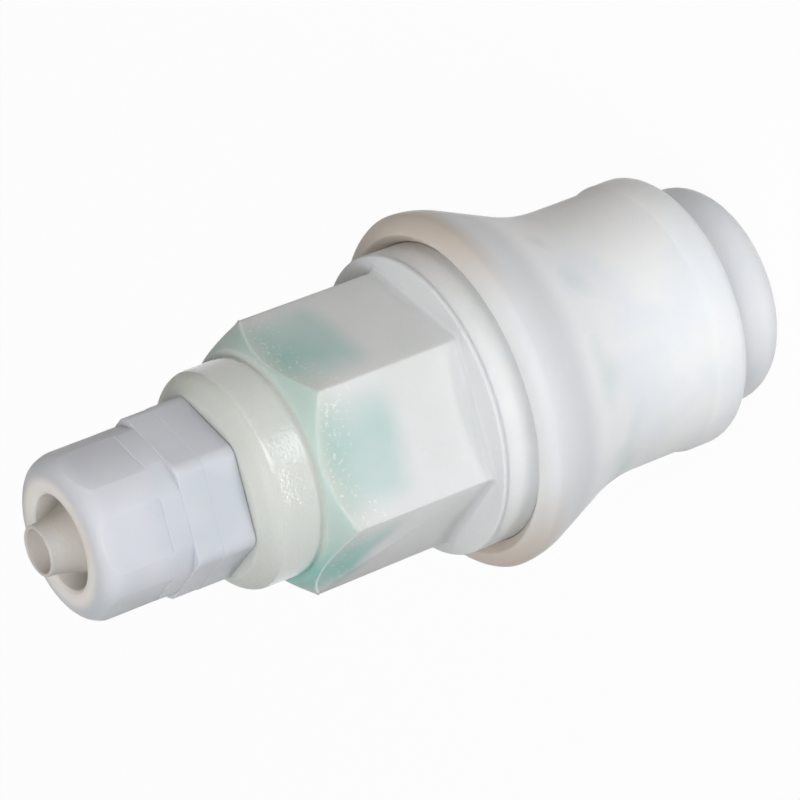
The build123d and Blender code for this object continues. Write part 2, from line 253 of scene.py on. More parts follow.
camera_turn = (CAMERA_AIM - CAMERA_PLACE).to_track_quat("-Z", "Y").to_matrix()
camera_turn = camera_turn @ Euler((0, 0, CAMERA_ROLL)).to_matrix()
bpy.ops.object.camera_add(location=CAMERA_PLACE, rotation=camera_turn.to_euler())
camera = bpy.context.object
camera.name = "camera"
camera.data.sensor_width = 36
camera.data.lens = CAMERA_LENS
camera.data.clip_start = 0.01
camera.data.clip_end = 10
bpy.context.scene.camera = camera
bpy.context.scene.view_settings.view_transform = "Standard"

# ---------------------------------------------------------------------------
# Light and floor
# ---------------------------------------------------------------------------


def add_node(tree, kind, inputs=None, **settings):
    """Adds a node with its settings; an input is a value or the socket that feeds it."""
    node = tree.nodes.new(kind)
    for setting, value in settings.items():
        setattr(node, setting, value)
    for socket, value in (inputs or {}).items():
        if isinstance(value, bpy.types.NodeSocket):
            tree.links.new(value, node.inputs[socket])
        else:
            node.inputs[socket].default_value = value
    return node


def linear(hex_colour):
    """A colour written as sRGB hex, as the linear values that a shader takes."""
    channels = []
    for start in (1, 3, 5):
        value = int(hex_colour[start:start + 2], 16) / 255
        channels.append(value / 12.92 if value <= 0.04045 else ((value + 0.055) / 1.055) ** 2.4)
    return (*channels, 1)


def soft_lamp(name, azimuth, elevation, distance, width, height, power, colour):
    """A rectangular soft box turned to the coupling. Azimuth runs from -Y towards +X, in degrees."""
    side, up = radians(azimuth), radians(elevation)
    outward = Vector((sin(side) * cos(up), -cos(side) * cos(up), sin(up)))
    bpy.ops.object.light_add(
        type="AREA",
        location=AXIS_CENTRE + outward * distance,
        rotation=(-outward).to_track_quat("-Z", "Y").to_euler(),
    )
    lamp = bpy.context.object
    lamp.name = name
    lamp.data.shape = "RECTANGLE"
    lamp.data.size = width
    lamp.data.size_y = height
    lamp.data.energy = power
    lamp.data.color = linear(colour)[:3]


# the strip lamp stands below the floor's plane and the low lamp partly, and both light the coupling
# through the floor
soft_lamp("high_lamp", -3, 44, 0.6, 0.30, 0.30, 1.94, "#F8FBFF")
soft_lamp("low_lamp", 17, -5, 0.6, 0.28, 0.28, 0.88, "#F6FAFF")
soft_lamp("strip_lamp", -17, -28, 0.5, 0.28, 0.045, 0.36, "#FFFCFA")
soft_lamp("edge_lamp", -16, 14, 0.5, 0.20, 0.03, 0.05, "#FFFFFF")
soft_lamp("warm_lamp", 60, 12, 0.6, 0.30, 0.40, 0.14, "#FFCC90")
soft_lamp("hose_lamp", -10, 74, 0.6, 0.40, 0.40, 0.95, "#FFF8F0")


def seen_directly(tree):
    """1 for rays from the eye, in a reflection or through glass, and 0 for rays that carry light."""
    path = add_node(tree, "ShaderNodeLightPath")
    either = add_node(
        tree,
        "ShaderNodeMath",
        {0: path.outputs["Is Camera Ray"], 1: path.outputs["Is Glossy Ray"]},
        operation="MAXIMUM",
    )
    return add_node(
        tree,
        "ShaderNodeMath",
        {0: either.outputs[0], 1: path.outputs["Is Transmission Ray"]},
        operation="MAXIMUM",
    ).outputs[0]


AMBIENT_LIGHT = 0.02
AMBIENT_COLOUR = "#E6DFD2"

world = bpy.data.worlds.new("studio")
bpy.context.scene.world = world
world.use_nodes = True
world.node_tree.nodes.clear()
ambient = add_node(
    world.node_tree,
    "ShaderNodeBackground",
    {"Color": linear(AMBIENT_COLOUR), "Strength": AMBIENT_LIGHT},
)
white_wall = add_node(world.node_tree, "ShaderNodeBackground", {"Color": (1, 1, 1, 1), "Strength": 1})
chosen = add_node(
    world.node_tree,
    "ShaderNodeMixShader",
    {0: seen_directly(world.node_tree), 1: ambient.outputs[0], 2: white_wall.outputs[0]},
)
add_node(world.node_tree, "ShaderNodeOutputWorld", {"Surface": chosen.outputs[0]})

FLOOR_WIDTH = 6
FLOOR_GLOW = 0.97      # share of the floor that glows white where it is seen

floor_paint = bpy.data.materials.new("white_floor")
floor_paint.use_nodes = True
floor_tree = floor_paint.node_tree
floor_tree.nodes.clear()
matt = add_node(floor_tree, "ShaderNodeBsdfDiffuse", {"Color": linear("#D6D6D6")})
glow = add_node(floor_tree, "ShaderNodeEmission", {"Color": (1, 1, 1, 1), "Strength": 1})
share = add_node(
    floor_tree, "ShaderNodeMath", {0: seen_directly(floor_tree), 1: FLOOR_GLOW}, operation="MULTIPLY"
)
floor_mix = add_node(
    floor_tree, "ShaderNodeMixShader", {0: share.outputs[0], 1: matt.outputs[0], 2: glow.outputs[0]}
)
add_node(floor_tree, "ShaderNodeOutputMaterial", {"Surface": floor_mix.outputs[0]})

bpy.ops.mesh.primitive_plane_add(size=FLOOR_WIDTH, location=(0, 0, cad_low.z))
floor = bpy.context.object
floor.name = "floor"
floor.data.materials.append(floor_paint)
floor.visible_shadow = False     # the low lamps shine through it
floor.visible_glossy = False     # a reflection shows the white wall instead

# ---------------------------------------------------------------------------
# Materials
# ---------------------------------------------------------------------------


def new_material(name):
    """An empty material, its node tree, and a socket with the place on the piece in millimetres."""
    material = bpy.data.materials.new(name)
    material.use_nodes = True
    tree = material.node_tree
    tree.nodes.clear()
    place = add_node(tree, "ShaderNodeTexCoord")
    millimetres = add_node(
        tree, "ShaderNodeVectorMath", {0: place.outputs["Object"], "Scale": 1 / MM}, operation="SCALE"
    )
    return material, tree, millimetres.outputs[0]


def height_and_radius(tree, place):
    """Sockets with the height on the axis and the distance from it, in millimetres."""
    parts = add_node(tree, "ShaderNodeSeparateXYZ", {0: place})
    flat = add_node(tree, "ShaderNodeCombineXYZ", {0: parts.outputs[0], 1: parts.outputs[1]})
    distance = add_node(tree, "ShaderNodeVectorMath", {0: flat.outputs[0]}, operation="LENGTH")
    return parts.outputs[2], distance.outputs["Value"]


def band_mask(tree, value, centre, half_width, fade):
    """1 within half_width of the centre, fading to 0 over the fade."""
    offset = add_node(tree, "ShaderNodeMath", {0: value, 1: centre}, operation="SUBTRACT")
    distance = add_node(tree, "ShaderNodeMath", {0: offset.outputs[0]}, operation="ABSOLUTE")
    mask = add_node(
        tree,
        "ShaderNodeMapRange",
        {0: distance.outputs[0], 1: half_width, 2: half_width + fade, 3: 1, 4: 0},
        interpolation_type="SMOOTHSTEP",
    )
    return mask.outputs[0]


def natural_plastic(
    name, body, cloud, roughness=0.38, scatter=0.5, depth=1.6, grain=0.4, tints=(), polish=None
):
    """Natural polypropylene, injection moulded: milky, waxy and a little see-through.

    Light goes in and spreads before it comes out, so edges and thin walls look soft. The skin of a
    spark-eroded mould breaks the gloss into a fine sparkle, and wall thickness and flow cloud the
    colour. Each tint is (colour, function that returns a mask), for what shows through from inside,
    and some for painted light and painted shade.
    Polish is a function that returns a mask too, for where the mould was smoother.
    """
    material, tree, place = new_material(name)
    clouding = add_node(tree, "ShaderNodeTexNoise", {"Vector": place, "Scale": 1 / 9, "Detail": 2})
    cloud_share = add_node(
        tree,
        "ShaderNodeMapRange",
        {0: clouding.outputs["Fac"], 1: 0.38, 2: 0.66, 3: 0, 4: 1},
        interpolation_type="SMOOTHSTEP",
    )
    clouded = add_node(
        tree,
        "ShaderNodeMix",
        {0: cloud_share.outputs[0], 6: linear(body), 7: linear(cloud)},
        data_type="RGBA",
    )
    colour = clouded.outputs[2]
    for tint, mask_of in tints:
        tinted = add_node(
            tree, "ShaderNodeMix", {0: mask_of(tree, place), 6: colour, 7: linear(tint)}, data_type="RGBA"
        )
        colour = tinted.outputs[2]

    # the grain is about 0.2 mm, and drawn at 0.3 mm so that it shows
    pits = add_node(tree, "ShaderNodeTexNoise", {"Vector": place, "Scale": 1 / 0.3, "Detail": 2})
    sink = add_node(tree, "ShaderNodeTexNoise", {"Vector": place, "Scale": 1 / 5, "Detail": 1})
    dull = add_node(
        tree,
        "ShaderNodeMapRange",
        {0: sink.outputs["Fac"], 1: 0.3, 2: 0.7, 3: roughness - 0.03, 4: roughness + 0.05},
    )
    soft_relief = add_node(
        tree,
        "ShaderNodeBump",
        {"Strength": 0.4, "Distance": 0.05 * MM, "Height": sink.outputs["Fac"]},
    )
    relief = add_node(
        tree,
        "ShaderNodeBump",
        {
            "Strength": grain,
            "Distance": 0.04 * MM,
            "Height": pits.outputs["Fac"],
            "Normal": soft_relief.outputs[0],
        },
    )
    skin = add_node(
        tree,
        "ShaderNodeBsdfPrincipled",
        {
            "Base Color": colour,
            "Roughness": dull.outputs[0],
            "IOR": 1.49,
            "Specular IOR Level": 0.16,
            "Subsurface Weight": scatter,
            "Subsurface Radius": (1.1, 1.0, 0.85),
            "Subsurface Scale": depth * MM,
            "Normal": relief.outputs[0],
            "Coat Weight": polish(tree, place) if polish else 0.0,
            "Coat Roughness": 0.12,
            "Coat IOR": 1.7,
            "Coat Normal": relief.outputs[0],
        },
    )
    add_node(tree, "ShaderNodeOutputMaterial", {"Surface": skin.outputs[0]})
    return material


def rubber(name, body):
    """Moulded O-ring rubber, dull and slightly dusty with talc."""
    material, tree, place = new_material(name)
    talc = add_node(tree, "ShaderNodeTexNoise", {"Vector": place, "Scale": 1 / 0.8, "Detail": 3})
    colour = add_node(
        tree,
        "ShaderNodeMix",
        {0: talc.outputs["Fac"], 6: linear(body), 7: linear("#7C8E88")},
        data_type="RGBA",
    )
    grain = add_node(tree, "ShaderNodeTexNoise", {"Vector": place, "Scale": 1 / 0.15, "Detail": 1})
    relief = add_node(
        tree, "ShaderNodeBump", {"Strength": 0.3, "Distance": 0.01 * MM, "Height": grain.outputs["Fac"]}
    )
    skin = add_node(
        tree,
        "ShaderNodeBsdfPrincipled",
        {"Base Color": colour.outputs[2], "Roughness": 0.62, "IOR": 1.52, "Normal": relief.outputs[0]},
    )
    add_node(tree, "ShaderNodeOutputMaterial", {"Surface": skin.outputs[0]})
    return material


def stainless_steel(name, roughness, scratch_mm):
    """Stainless steel, drawn as wire or ground as balls: grey, bright, with fine streaks."""
    material, tree, place = new_material(name)
    streaks = add_node(
        tree, "ShaderNodeTexNoise", {"Vector": place, "Scale": 1 / scratch_mm, "Detail": 3}
    )
    colour = add_node(
        tree,
        "ShaderNodeMix",
        {0: streaks.outputs["Fac"], 6: linear("#B4B6B8"), 7: linear("#D2D3D4")},
        data_type="RGBA",
    )
    dull = add_node(
        tree,
        "ShaderNodeMapRange",
        {0: streaks.outputs["Fac"], 1: 0.3, 2: 0.7, 3: roughness, 4: roughness + 0.12},
    )
    skin = add_node(
        tree,
        "ShaderNodeBsdfPrincipled",
        {"Base Color": colour.outputs[2], "Metallic": 1.0, "Roughness": dull.outputs[0]},
    )
    add_node(tree, "ShaderNodeOutputMaterial", {"Surface": skin.outputs[0]})
    return material


# sizes of the adapter that its plastic needs too
HEX_LENGTH = 16.8
HEX_BEVEL = 1.92
COLLAR_RADIUS = 10.14

SEAL_HEIGHT = (low("valve_seal") + high("valve_seal")) / 2
HEX_END = low("adapter") + HEX_LENGTH
CHAMFER_CONE = HEX_END - HEX_BEVEL + reach("adapter")     # height and radius added up
THIN_WALL_HEIGHT = high("union_nut") - 3
# painted shade: the green is stronger, so darker, on the flats at low and high X
GREEN_LOW_X = (-9.5, -6.5)       # the green fades from full to its middle strength between these
GREEN_HIGH_X = (4, 9)            # and grows a little again between these
GREEN_MIDDLE = 0.46              # its strength in the middle
GREEN_HIGH = 0.62                # and at high X
GREEN_LEAN = 3.0                 # at low X the band lies this much nearer to the hose


def cone_and_radius(tree, place):
    """Sockets with height and radius added up, which is even along the chamfer, and the radius."""
    height, radius = height_and_radius(tree, place)
    cone = add_node(tree, "ShaderNodeMath", {0: height, 1: radius})
    return cone.outputs[0], radius


def valve_seal_and_side_shade(tree, place):
    """The green valve seal shows through the middle of each flat, where the wall is thinnest.

    It isn't even round the axis: full at low X, fainter at high X and faintest in the middle, which is
    painted shade that darkens the flats on the two X sides.
    """
    height, radius = height_and_radius(tree, place)
    parts = add_node(tree, "ShaderNodeSeparateXYZ", {0: place})
    low_x_shade = add_node(
        tree,
        "ShaderNodeMapRange",
        {0: parts.outputs[0], 1: GREEN_LOW_X[0], 2: GREEN_LOW_X[1], 3: 1, 4: 0},
    )
    leaning = add_node(
        tree,
        "ShaderNodeMath",
        {0: low_x_shade.outputs[0], 1: -GREEN_LEAN, 2: height},
        operation="MULTIPLY_ADD",
    )
    band = band_mask(tree, leaning.outputs[0], SEAL_HEIGHT + 0.9, 2.3, 2.8)
    wall = band_mask(tree, radius, 10.0, 1.0, 1.6)
    drift = add_node(tree, "ShaderNodeTexNoise", {"Vector": place, "Scale": 1 / 5, "Detail": 1})
    uneven = add_node(
        tree, "ShaderNodeMapRange", {0: drift.outputs["Fac"], 1: 0.3, 2: 0.65, 3: 0.6, 4: 1}
    )
    high_x_shade = add_node(
        tree,
        "ShaderNodeMapRange",
        {
            0: parts.outputs[0],
            1: GREEN_HIGH_X[0],
            2: GREEN_HIGH_X[1],
            3: GREEN_MIDDLE,
            4: GREEN_HIGH,
        },
    )
    sides = add_node(
        tree,
        "ShaderNodeMath",
        {0: low_x_shade.outputs[0], 1: high_x_shade.outputs[0]},
        operation="MAXIMUM",
    )
    both = add_node(tree, "ShaderNodeMath", {0: band, 1: wall}, operation="MULTIPLY")
    third = add_node(
        tree, "ShaderNodeMath", {0: both.outputs[0], 1: sides.outputs[0]}, operation="MULTIPLY"
    )
    return add_node(
        tree, "ShaderNodeMath", {0: third.outputs[0], 1: uneven.outputs[0]}, operation="MULTIPLY"
    ).outputs[0]


def chamfer_shows_seal(tree, place):
    """A little of the seal's green shows all round in the hexagon's chamfer."""
    cone, radius = cone_and_radius(tree, place)
    chamfer = add_node(
        tree,
        "ShaderNodeMapRange",
        {0: cone, 1: CHAMFER_CONE - 0.25, 2: CHAMFER_CONE - 0.05, 3: 0, 4: 1},
    )
    outside = add_node(tree, "ShaderNodeMapRange", {0: radius, 1: 10.2, 2: 10.6, 3: 0, 4: 0.9})
    return add_node(
        tree, "ShaderNodeMath", {0: chamfer.outputs[0], 1: outside.outputs[0]}, operation="MULTIPLY"
    ).outputs[0]


def chamfer_edge(tree, place):
    """The edge between the chamfer and the flats, rubbed shiny by spanners."""
    cone, radius = cone_and_radius(tree, place)
    edge = band_mask(tree, cone, CHAMFER_CONE - 0.16, 0.08, 0.06)
    flats = add_node(tree, "ShaderNodeMapRange", {0: radius, 1: 10.7, 2: 10.9, 3: 0, 4: 1})
    return add_node(
        tree, "ShaderNodeMath", {0: edge, 1: flats.outputs[0]}, operation="MULTIPLY"
    ).outputs[0]


def flats_painted_glints(tree, place):
    """Painted glints: white specks on the flats next to the chamfer, for the eroded skin catching the
    light.
    """
    cone, radius = cone_and_radius(tree, place)
    near = band_mask(tree, cone, CHAMFER_CONE - 1.9, 1.2, 0.6)
    # the painted glint specks stand for specks about 0.1 mm, and are drawn at 0.35 mm so that they show
    specks = add_node(tree, "ShaderNodeTexNoise", {"Vector": place, "Scale": 1 / 0.35, "Detail": 1})
    bright = add_node(
        tree, "ShaderNodeMapRange", {0: specks.outputs["Fac"], 1: 0.6, 2: 0.75, 3: 0, 4: 0.4}
    )
    flats = add_node(tree, "ShaderNodeMapRange", {0: radius, 1: 10.7, 2: 10.9, 3: 0, 4: 1})
    both = add_node(tree, "ShaderNodeMath", {0: near, 1: bright.outputs[0]}, operation="MULTIPLY")
    return add_node(
        tree, "ShaderNodeMath", {0: both.outputs[0], 1: flats.outputs[0]}, operation="MULTIPLY"
    ).outputs[0]


def foot_joins_flange(tree, place):
    """The round foot under the hexagon is as pale as the flange that it is welded to."""
    height, _ = height_and_radius(tree, place)
    return band_mask(tree, height, low("adapter"), 0.55, 0.2)


def turned_smooth(tree, place):
    """The mould was turned smooth at the collar's side, and the chamfer's edge is rubbed."""
    height, radius = height_and_radius(tree, place)
    side = band_mask(tree, radius, COLLAR_RADIUS, 0.04, 0.06)
    above = add_node(
        tree,
        "ShaderNodeMapRange",
        {0: height, 1: HEX_END + 0.2, 2: HEX_END + 0.6, 3: 0, 4: 1},
    )
    collar = add_node(tree, "ShaderNodeMath", {0: side, 1: above.outputs[0]}, operation="MULTIPLY")
    return add_node(
        tree, "ShaderNodeMath", {0: collar.outputs[0], 1: chamfer_edge(tree, place)}, operation="MAXIMUM"
    ).outputs[0]


def collar_shows_depth(tree, place):
    """The collar is thick right through, so it looks a little yellower and greener than the flats."""
    height, _ = height_and_radius(tree, place)
    return add_node(
        tree,
        "ShaderNodeMapRange",
        {0: height, 1: SEAL_HEIGHT + 1, 2: SEAL_HEIGHT + 5, 3: 0, 4: 1},
        interpolation_type="SMOOTHSTEP",
    ).outputs[0]


def nozzle_bore_painted_light(tree, place):
    """Painted light: the nozzle's bore is tinted pale, for light that comes through the thin wall."""
    _, radius = height_and_radius(tree, place)
    return band_mask(tree, radius, 0, 2.15, 0.1)


def nut_mouth_painted_light(tree, place):
    """Painted light: the nut's mouth is tinted pale, for light that comes through the nut."""
    _, radius = height_and_radius(tree, place)
    return band_mask(tree, radius, 0, 5.2, 1.2)


def lip_painted_warm_shade(tree, place):
    """The thick rim of the sleeve is tinted warmer and darker towards its two X sides, a painted warm
    shade, and not in between.
    """
    height, _ = height_and_radius(tree, place)
    rim = band_mask(tree, height, high("sleeve"), 1.0, 2.4)
    parts = add_node(tree, "ShaderNodeSeparateXYZ", {0: place})
    aside = add_node(tree, "ShaderNodeMath", {0: parts.outputs[0]}, operation="ABSOLUTE")
    sides = add_node(
        tree,
        "ShaderNodeMapRange",
        {0: aside.outputs[0], 1: 7, 2: 16, 3: 0, 4: 0.9},
        interpolation_type="SMOOTHSTEP",
    )
    return add_node(
        tree, "ShaderNodeMath", {0: rim, 1: sides.outputs[0]}, operation="MULTIPLY"
    ).outputs[0]


def rim_painted_shade(tree, place):
    """Painted shade: the flare up to the rim is tinted darker, for its thick wall letting less light
    through than the waist.
    """
    height, _ = height_and_radius(tree, place)
    return band_mask(tree, height, high("sleeve") - 3, 1.8, 3.0)


def nozzle_wall_and_painted_shade(tree, place):
    """The nozzle is tinted browner than the solid body: its thin wall lets the dark bore show, and the
    rest is painted shade.
    """
    height, _ = height_and_radius(tree, place)
    return add_node(
        tree,
        "ShaderNodeMapRange",
        {0: height, 1: THIN_WALL_HEIGHT - 2, 2: THIN_WALL_HEIGHT, 3: 0, 4: 1},
        interpolation_type="SMOOTHSTEP",
    ).outputs[0]


def plug_seal_shows(tree, place):
    """A trace of the plug seal's green shows through the sleeve's waist."""
    height, _ = height_and_radius(tree, place)
    centre = (low("plug_seal") + high("plug_seal")) / 2
    band = band_mask(tree, height, centre, 1, 3)
    drift = add_node(tree, "ShaderNodeTexNoise", {"Vector": place, "Scale": 1 / 7, "Detail": 1})
    patches = add_node(
        tree, "ShaderNodeMapRange", {0: drift.outputs["Fac"], 1: 0.45, 2: 0.7, 3: 0, 4: 0.8}
    )
    return add_node(
        tree, "ShaderNodeMath", {0: band, 1: patches.outputs[0]}, operation="MULTIPLY"
    ).outputs[0]


sleeve_plastic = natural_plastic(
    "sleeve_polypropylene",
    "#F6F7F7",
    "#EEF2F6",
    tints=(
        ("#D2E2DE", plug_seal_shows),
        # painted shade on the thick flare
        ("#E2E4E6", rim_painted_shade),
        # painted warm shade on the rim's two X sides
        ("#D3C7BA", lip_painted_warm_shade),
    ),
)
ring_plastic = natural_plastic("ring_polypropylene", "#EDEEEF", "#E6E9ED")
body_plastic = natural_plastic("body_polypropylene", "#F2F3F2", "#ECEEEC")
adapter_plastic = natural_plastic(
    "adapter_polypropylene",
    "#E4E5E5",
    "#DFE2E0",
    roughness=0.37,
    depth=2.4,
    grain=1.0,
    tints=(
        ("#D3D7D1", collar_shows_depth),
        ("#C2D2CC", chamfer_shows_seal),
        # the seal's green, with painted shade on the flats at the two X sides
        ("#86C2B8", valve_seal_and_side_shade),
        ("#F2F3F2", foot_joins_flange),
        # painted glints on the flats
        ("#FFFFFF", flats_painted_glints),
        # browner nozzle, partly painted shade
        ("#D4CEC8", nozzle_wall_and_painted_shade),
        # painted light in the nozzle's bore
        ("#E4DAD2", nozzle_bore_painted_light),
    ),
    polish=turned_smooth,
)
nut_plastic = natural_plastic(
    "nut_polypropylene",
    "#D7D9DF",
    "#CDD2D8",
    roughness=0.35,
    depth=2.4,
    # painted light in the nut's mouth
    tints=(("#FFF8F0", nut_mouth_painted_light),),
)
valve_plastic = natural_plastic("valve_polypropylene", "#ECECE8", "#E2E4E0")
seal_rubber = rubber("green_seal_rubber", "#2E8C78")
joint_rubber = rubber("black_seal_rubber", "#1A1B1C")
spring_steel = stainless_steel("drawn_spring_wire", 0.24, 0.6)
ball_steel = stainless_steel("polished_ball_steel", 0.08, 1.2)

# ---------------------------------------------------------------------------
# Front ring
# ---------------------------------------------------------------------------

MOUTH_FLARE = 0.9
RING_LIP = 1.0
RING_EDGE = 2.4
NOSE_WALL = 1.25
GUIDE_RADIUS = 5.8

ring_radius = reach("front_ring")
ring_top = high("front_ring")

front_ring = turned(
    "front_ring_moulding",
    [
        (GUIDE_RADIUS + MOUTH_FLARE, 0),
        *arc((ring_radius - RING_EDGE, RING_EDGE), RING_EDGE, -90, 0),
        (ring_radius, ring_top),
        (GUIDE_RADIUS + NOSE_WALL, ring_top),
        (GUIDE_RADIUS + NOSE_WALL, RING_LIP),
        (GUIDE_RADIUS, RING_LIP),
    ],
)
ease_edges(front_ring, 0.12)
finish_piece(front_ring, "socket", ring_plastic, "ring_plastic", "front_ring")

# ---------------------------------------------------------------------------
# Sleeve: waisted grip with a bead at the front and a flared, dished lip
# ---------------------------------------------------------------------------

SLEEVE_WALL = 2.06
MOUTH_ROOM = 0.15
FRONT_BEAD = 0.31
BEAD_LENGTH = 3.2
BEAD_FADE = 0.7
FRONT_EDGE = 1.2
WAIST_ARC = 16.0
LIP_ARC = 7.0
FLARE_ANGLE = 23.0
LIP_NOSE = 1.15
LIP_CREASE = 20.0                # degrees by which the nose turns in at the widest line
LIP_DISH = 0.85
SEAM_EDGE = 0.1
FLANGE_FIT = 0.1                 # the flange is this much fuller, which closes the seam
PULL_ROOM = 4.3
CAVITY_RADIUS = 9.4
LAND_RADIUS = 7.9
LAND_LENGTH = 2.8
STOP_GAP = 0.1
SEAM_OVERLAP = 0.4
RING_SHOULDER = 1.07

lip_radius = reach("sleeve")
sleeve_front = low("sleeve")
crest = high("sleeve")
mouth_radius = ring_radius + MOUTH_ROOM
waist_radius = mouth_radius + SLEEVE_WALL
bead_radius = waist_radius + FRONT_BEAD
bead_end = sleeve_front + BEAD_LENGTH
flange_radius = reach("socket_body")
seam_radius = flange_radius + MOUTH_ROOM
lip_widest = crest - LIP_NOSE
seam = crest - LIP_DISH
stop = ring_top + STOP_GAP
shoulder = low("sleeve_spring") - HAIR
flange_rim = seam - SEAM_OVERLAP

flare = radians(FLARE_ANGLE)
lip_bend_radius = lip_radius - LIP_ARC * (1 - cos(flare))
lip_bend = lip_widest - LIP_ARC * sin(flare)
waist_bend_radius = waist_radius + WAIST_ARC * (1 - cos(flare))
waist_bend = lip_bend - (lip_bend_radius - waist_bend_radius) / tan(flare)
waist_end = waist_bend - WAIST_ARC * sin(flare)
nose_arc = LIP_NOSE / (1 - sin(radians(LIP_CREASE)))
nose_centre = (
    lip_radius - nose_arc * cos(radians(LIP_CREASE)),
    lip_widest - nose_arc * sin(radians(LIP_CREASE)),
)
ramp_mouth = ring_radius - RING_SHOULDER
land = shoulder - LAND_LENGTH
pull_cone = flange_rim - PULL_ROOM

sleeve = turned(
    "sleeve_moulding",
    [
        (mouth_radius, sleeve_front),
        *arc((bead_radius - FRONT_EDGE, sleeve_front + FRONT_EDGE), FRONT_EDGE, -90, 0),
        (bead_radius, bead_end),
        (waist_radius + FRONT_BEAD * 0.5, bead_end + BEAD_FADE * 0.5),
        (waist_radius, bead_end + BEAD_FADE),
        *arc((waist_radius + WAIST_ARC, waist_end), WAIST_ARC, 180, 180 - FLARE_ANGLE),
        *arc((lip_radius - LIP_ARC, lip_widest), LIP_ARC, -FLARE_ANGLE, 0),
        *arc(nose_centre, nose_arc, LIP_CREASE, 90)[1:],
        (seam_radius + SEAM_EDGE, seam),
        (seam_radius, seam - SEAM_EDGE),
        (seam_radius, pull_cone),
        (CAVITY_RADIUS, pull_cone - seam_radius + CAVITY_RADIUS),
        (CAVITY_RADIUS, shoulder),
        (LAND_RADIUS, shoulder),
        (LAND_RADIUS, land),
        (ramp_mouth, stop),
        (mouth_radius, stop),
    ],
)
ease_edges(sleeve, 0.12)
finish_piece(sleeve, "sleeve", sleeve_plastic, "sleeve_plastic", "sleeve")

# ---------------------------------------------------------------------------
# Adapter: hexagon, collar, hose spigot and nozzle in one moulding
# ---------------------------------------------------------------------------

HEX_FLATS = 22.0
BASE_HEIGHT = 0.5                # round foot of the hexagon, which carries on the flange
BASE_FILLET = 0.85               # the flats run out into the foot over this radius
BLANK_STEP = 0.2                 # the turned blank widens this far above the fillet
COLLAR_LENGTH = 5.7
COLLAR_BEVEL = (1.25, 1.7)       # along the axis, and inwards
COLLAR_ROLL = 0.9                # the bevel rolls softly into the collar's side over this length
SPIGOT_RADIUS = 6.0
SPIGOT_LENGTH = 8.2
NOZZLE_RADIUS = 3.4
NOZZLE_TIP_RADIUS = 2.35
NOZZLE_BORE = 2.0
NOZZLE_FLARE_LENGTH = 4.2
FLARE_STEPS = 12
CHAMBER_RADIUS = 8.1
CHAMBER_ROOF = 2.8
SPRING_ROOM = 0.3

hex_bottom = low("adapter")
tip = high("adapter")
hex_corner = reach("adapter")
base_radius = flange_radius + FLANGE_FIT
blank_step = hex_bottom + BASE_HEIGHT + BASE_FILLET + BLANK_STEP
hex_top = hex_bottom + HEX_LENGTH
collar_top = hex_top + COLLAR_LENGTH
spigot_top = collar_top + SPIGOT_LENGTH
chamber_top = collar_top - CHAMBER_ROOF
spring_pocket_radius = reach("valve_spring") + SPRING_ROOM
spring_pocket_top = high("valve_spring") + HAIR

nozzle_flare = []
for step in range(FLARE_STEPS + 1):
    share = step / FLARE_STEPS
    widening = 1 - cos(pi / 2 * (1 - share))
    nozzle_flare.append(
        (
            NOZZLE_TIP_RADIUS + (NOZZLE_RADIUS - NOZZLE_TIP_RADIUS) * widening,
            tip - NOZZLE_FLARE_LENGTH * (1 - share),
        )
    )

adapter = turned(
    "adapter_moulding",
    [
        (base_radius, hex_bottom),
        (base_radius, blank_step),
        (hex_corner, blank_step),
        (hex_corner, hex_top - HEX_BEVEL),
        (hex_corner - HEX_BEVEL, hex_top),
        (COLLAR_RADIUS, hex_top),
        *rolled(
            (COLLAR_RADIUS, collar_top - COLLAR_BEVEL[0] - COLLAR_ROLL),
            (COLLAR_RADIUS, collar_top - COLLAR_BEVEL[0]),
            (COLLAR_RADIUS - COLLAR_BEVEL[1] / 2, collar_top - COLLAR_BEVEL[0] / 2),
        ),
        (COLLAR_RADIUS - COLLAR_BEVEL[1], collar_top),
        (SPIGOT_RADIUS, collar_top),
        (SPIGOT_RADIUS, spigot_top),
        (NOZZLE_RADIUS, spigot_top),
        *nozzle_flare,
        (NOZZLE_BORE, tip),
        (NOZZLE_BORE, spring_pocket_top),
        (spring_pocket_radius, spring_pocket_top),
        (spring_pocket_radius, chamber_top),
        (CHAMBER_RADIUS, chamber_top),
        (CHAMBER_RADIUS, hex_bottom),
    ],
)
base_top = hex_bottom + BASE_HEIGHT
base_fillet = [
    (corner(2 * half_width), height)
    for half_width, height in arc(
        (HEX_FLATS / 2 + BASE_FILLET, base_top + BASE_FILLET), BASE_FILLET, 270, 180, steps=8
    )
]
spanner_flats = bar(
    "spanner_flats",
    [
        (2 * base_radius, hex_bottom - 1),
        (2 * base_radius, base_top),
        *base_fillet,
        (corner(HEX_FLATS), tip + 1),
    ],
    sides=6,
    turn=radians(30),
)
keep_inside(adapter, spanner_flats)
ease_edges(adapter, 0.36, segments=4, crisp=hex_bottom)
finish_piece(adapter, "socket", adapter_plastic, "adapter_plastic", "adapter")

# ---------------------------------------------------------------------------
# Union nut: stepped hexagon with a rounded nose
# ---------------------------------------------------------------------------

NUT_FLATS = 14.92
NUT_BANDS = (        # length and step in from the full width across flats
    (3.2, 0),
    (2.6, 0.1),
    (2.0, 0.3),
    (6.85, 0.52),
)
NUT_FRONT_RADIUS = 7.65
NUT_GRIP_LENGTH = 5.8
NUT_BEVEL = 0.4
NUT_NOSE = 2.0
NUT_BORE = 6.1
NUT_MOUTH_RADIUS = 4.4
NUT_MOUTH_LENGTH = 2.2
NUT_MOUTH_EDGE = 0.3
NUT_RUNOUT = 0.9
NUT_TURN = radians(-4)
NUT_CORNER_ROUNDING = 0.8

nut_bottom = low("union_nut")
nut_top = high("union_nut")
nut_corner = corner(NUT_FLATS)
nut_shoulder = nut_bottom + NUT_GRIP_LENGTH

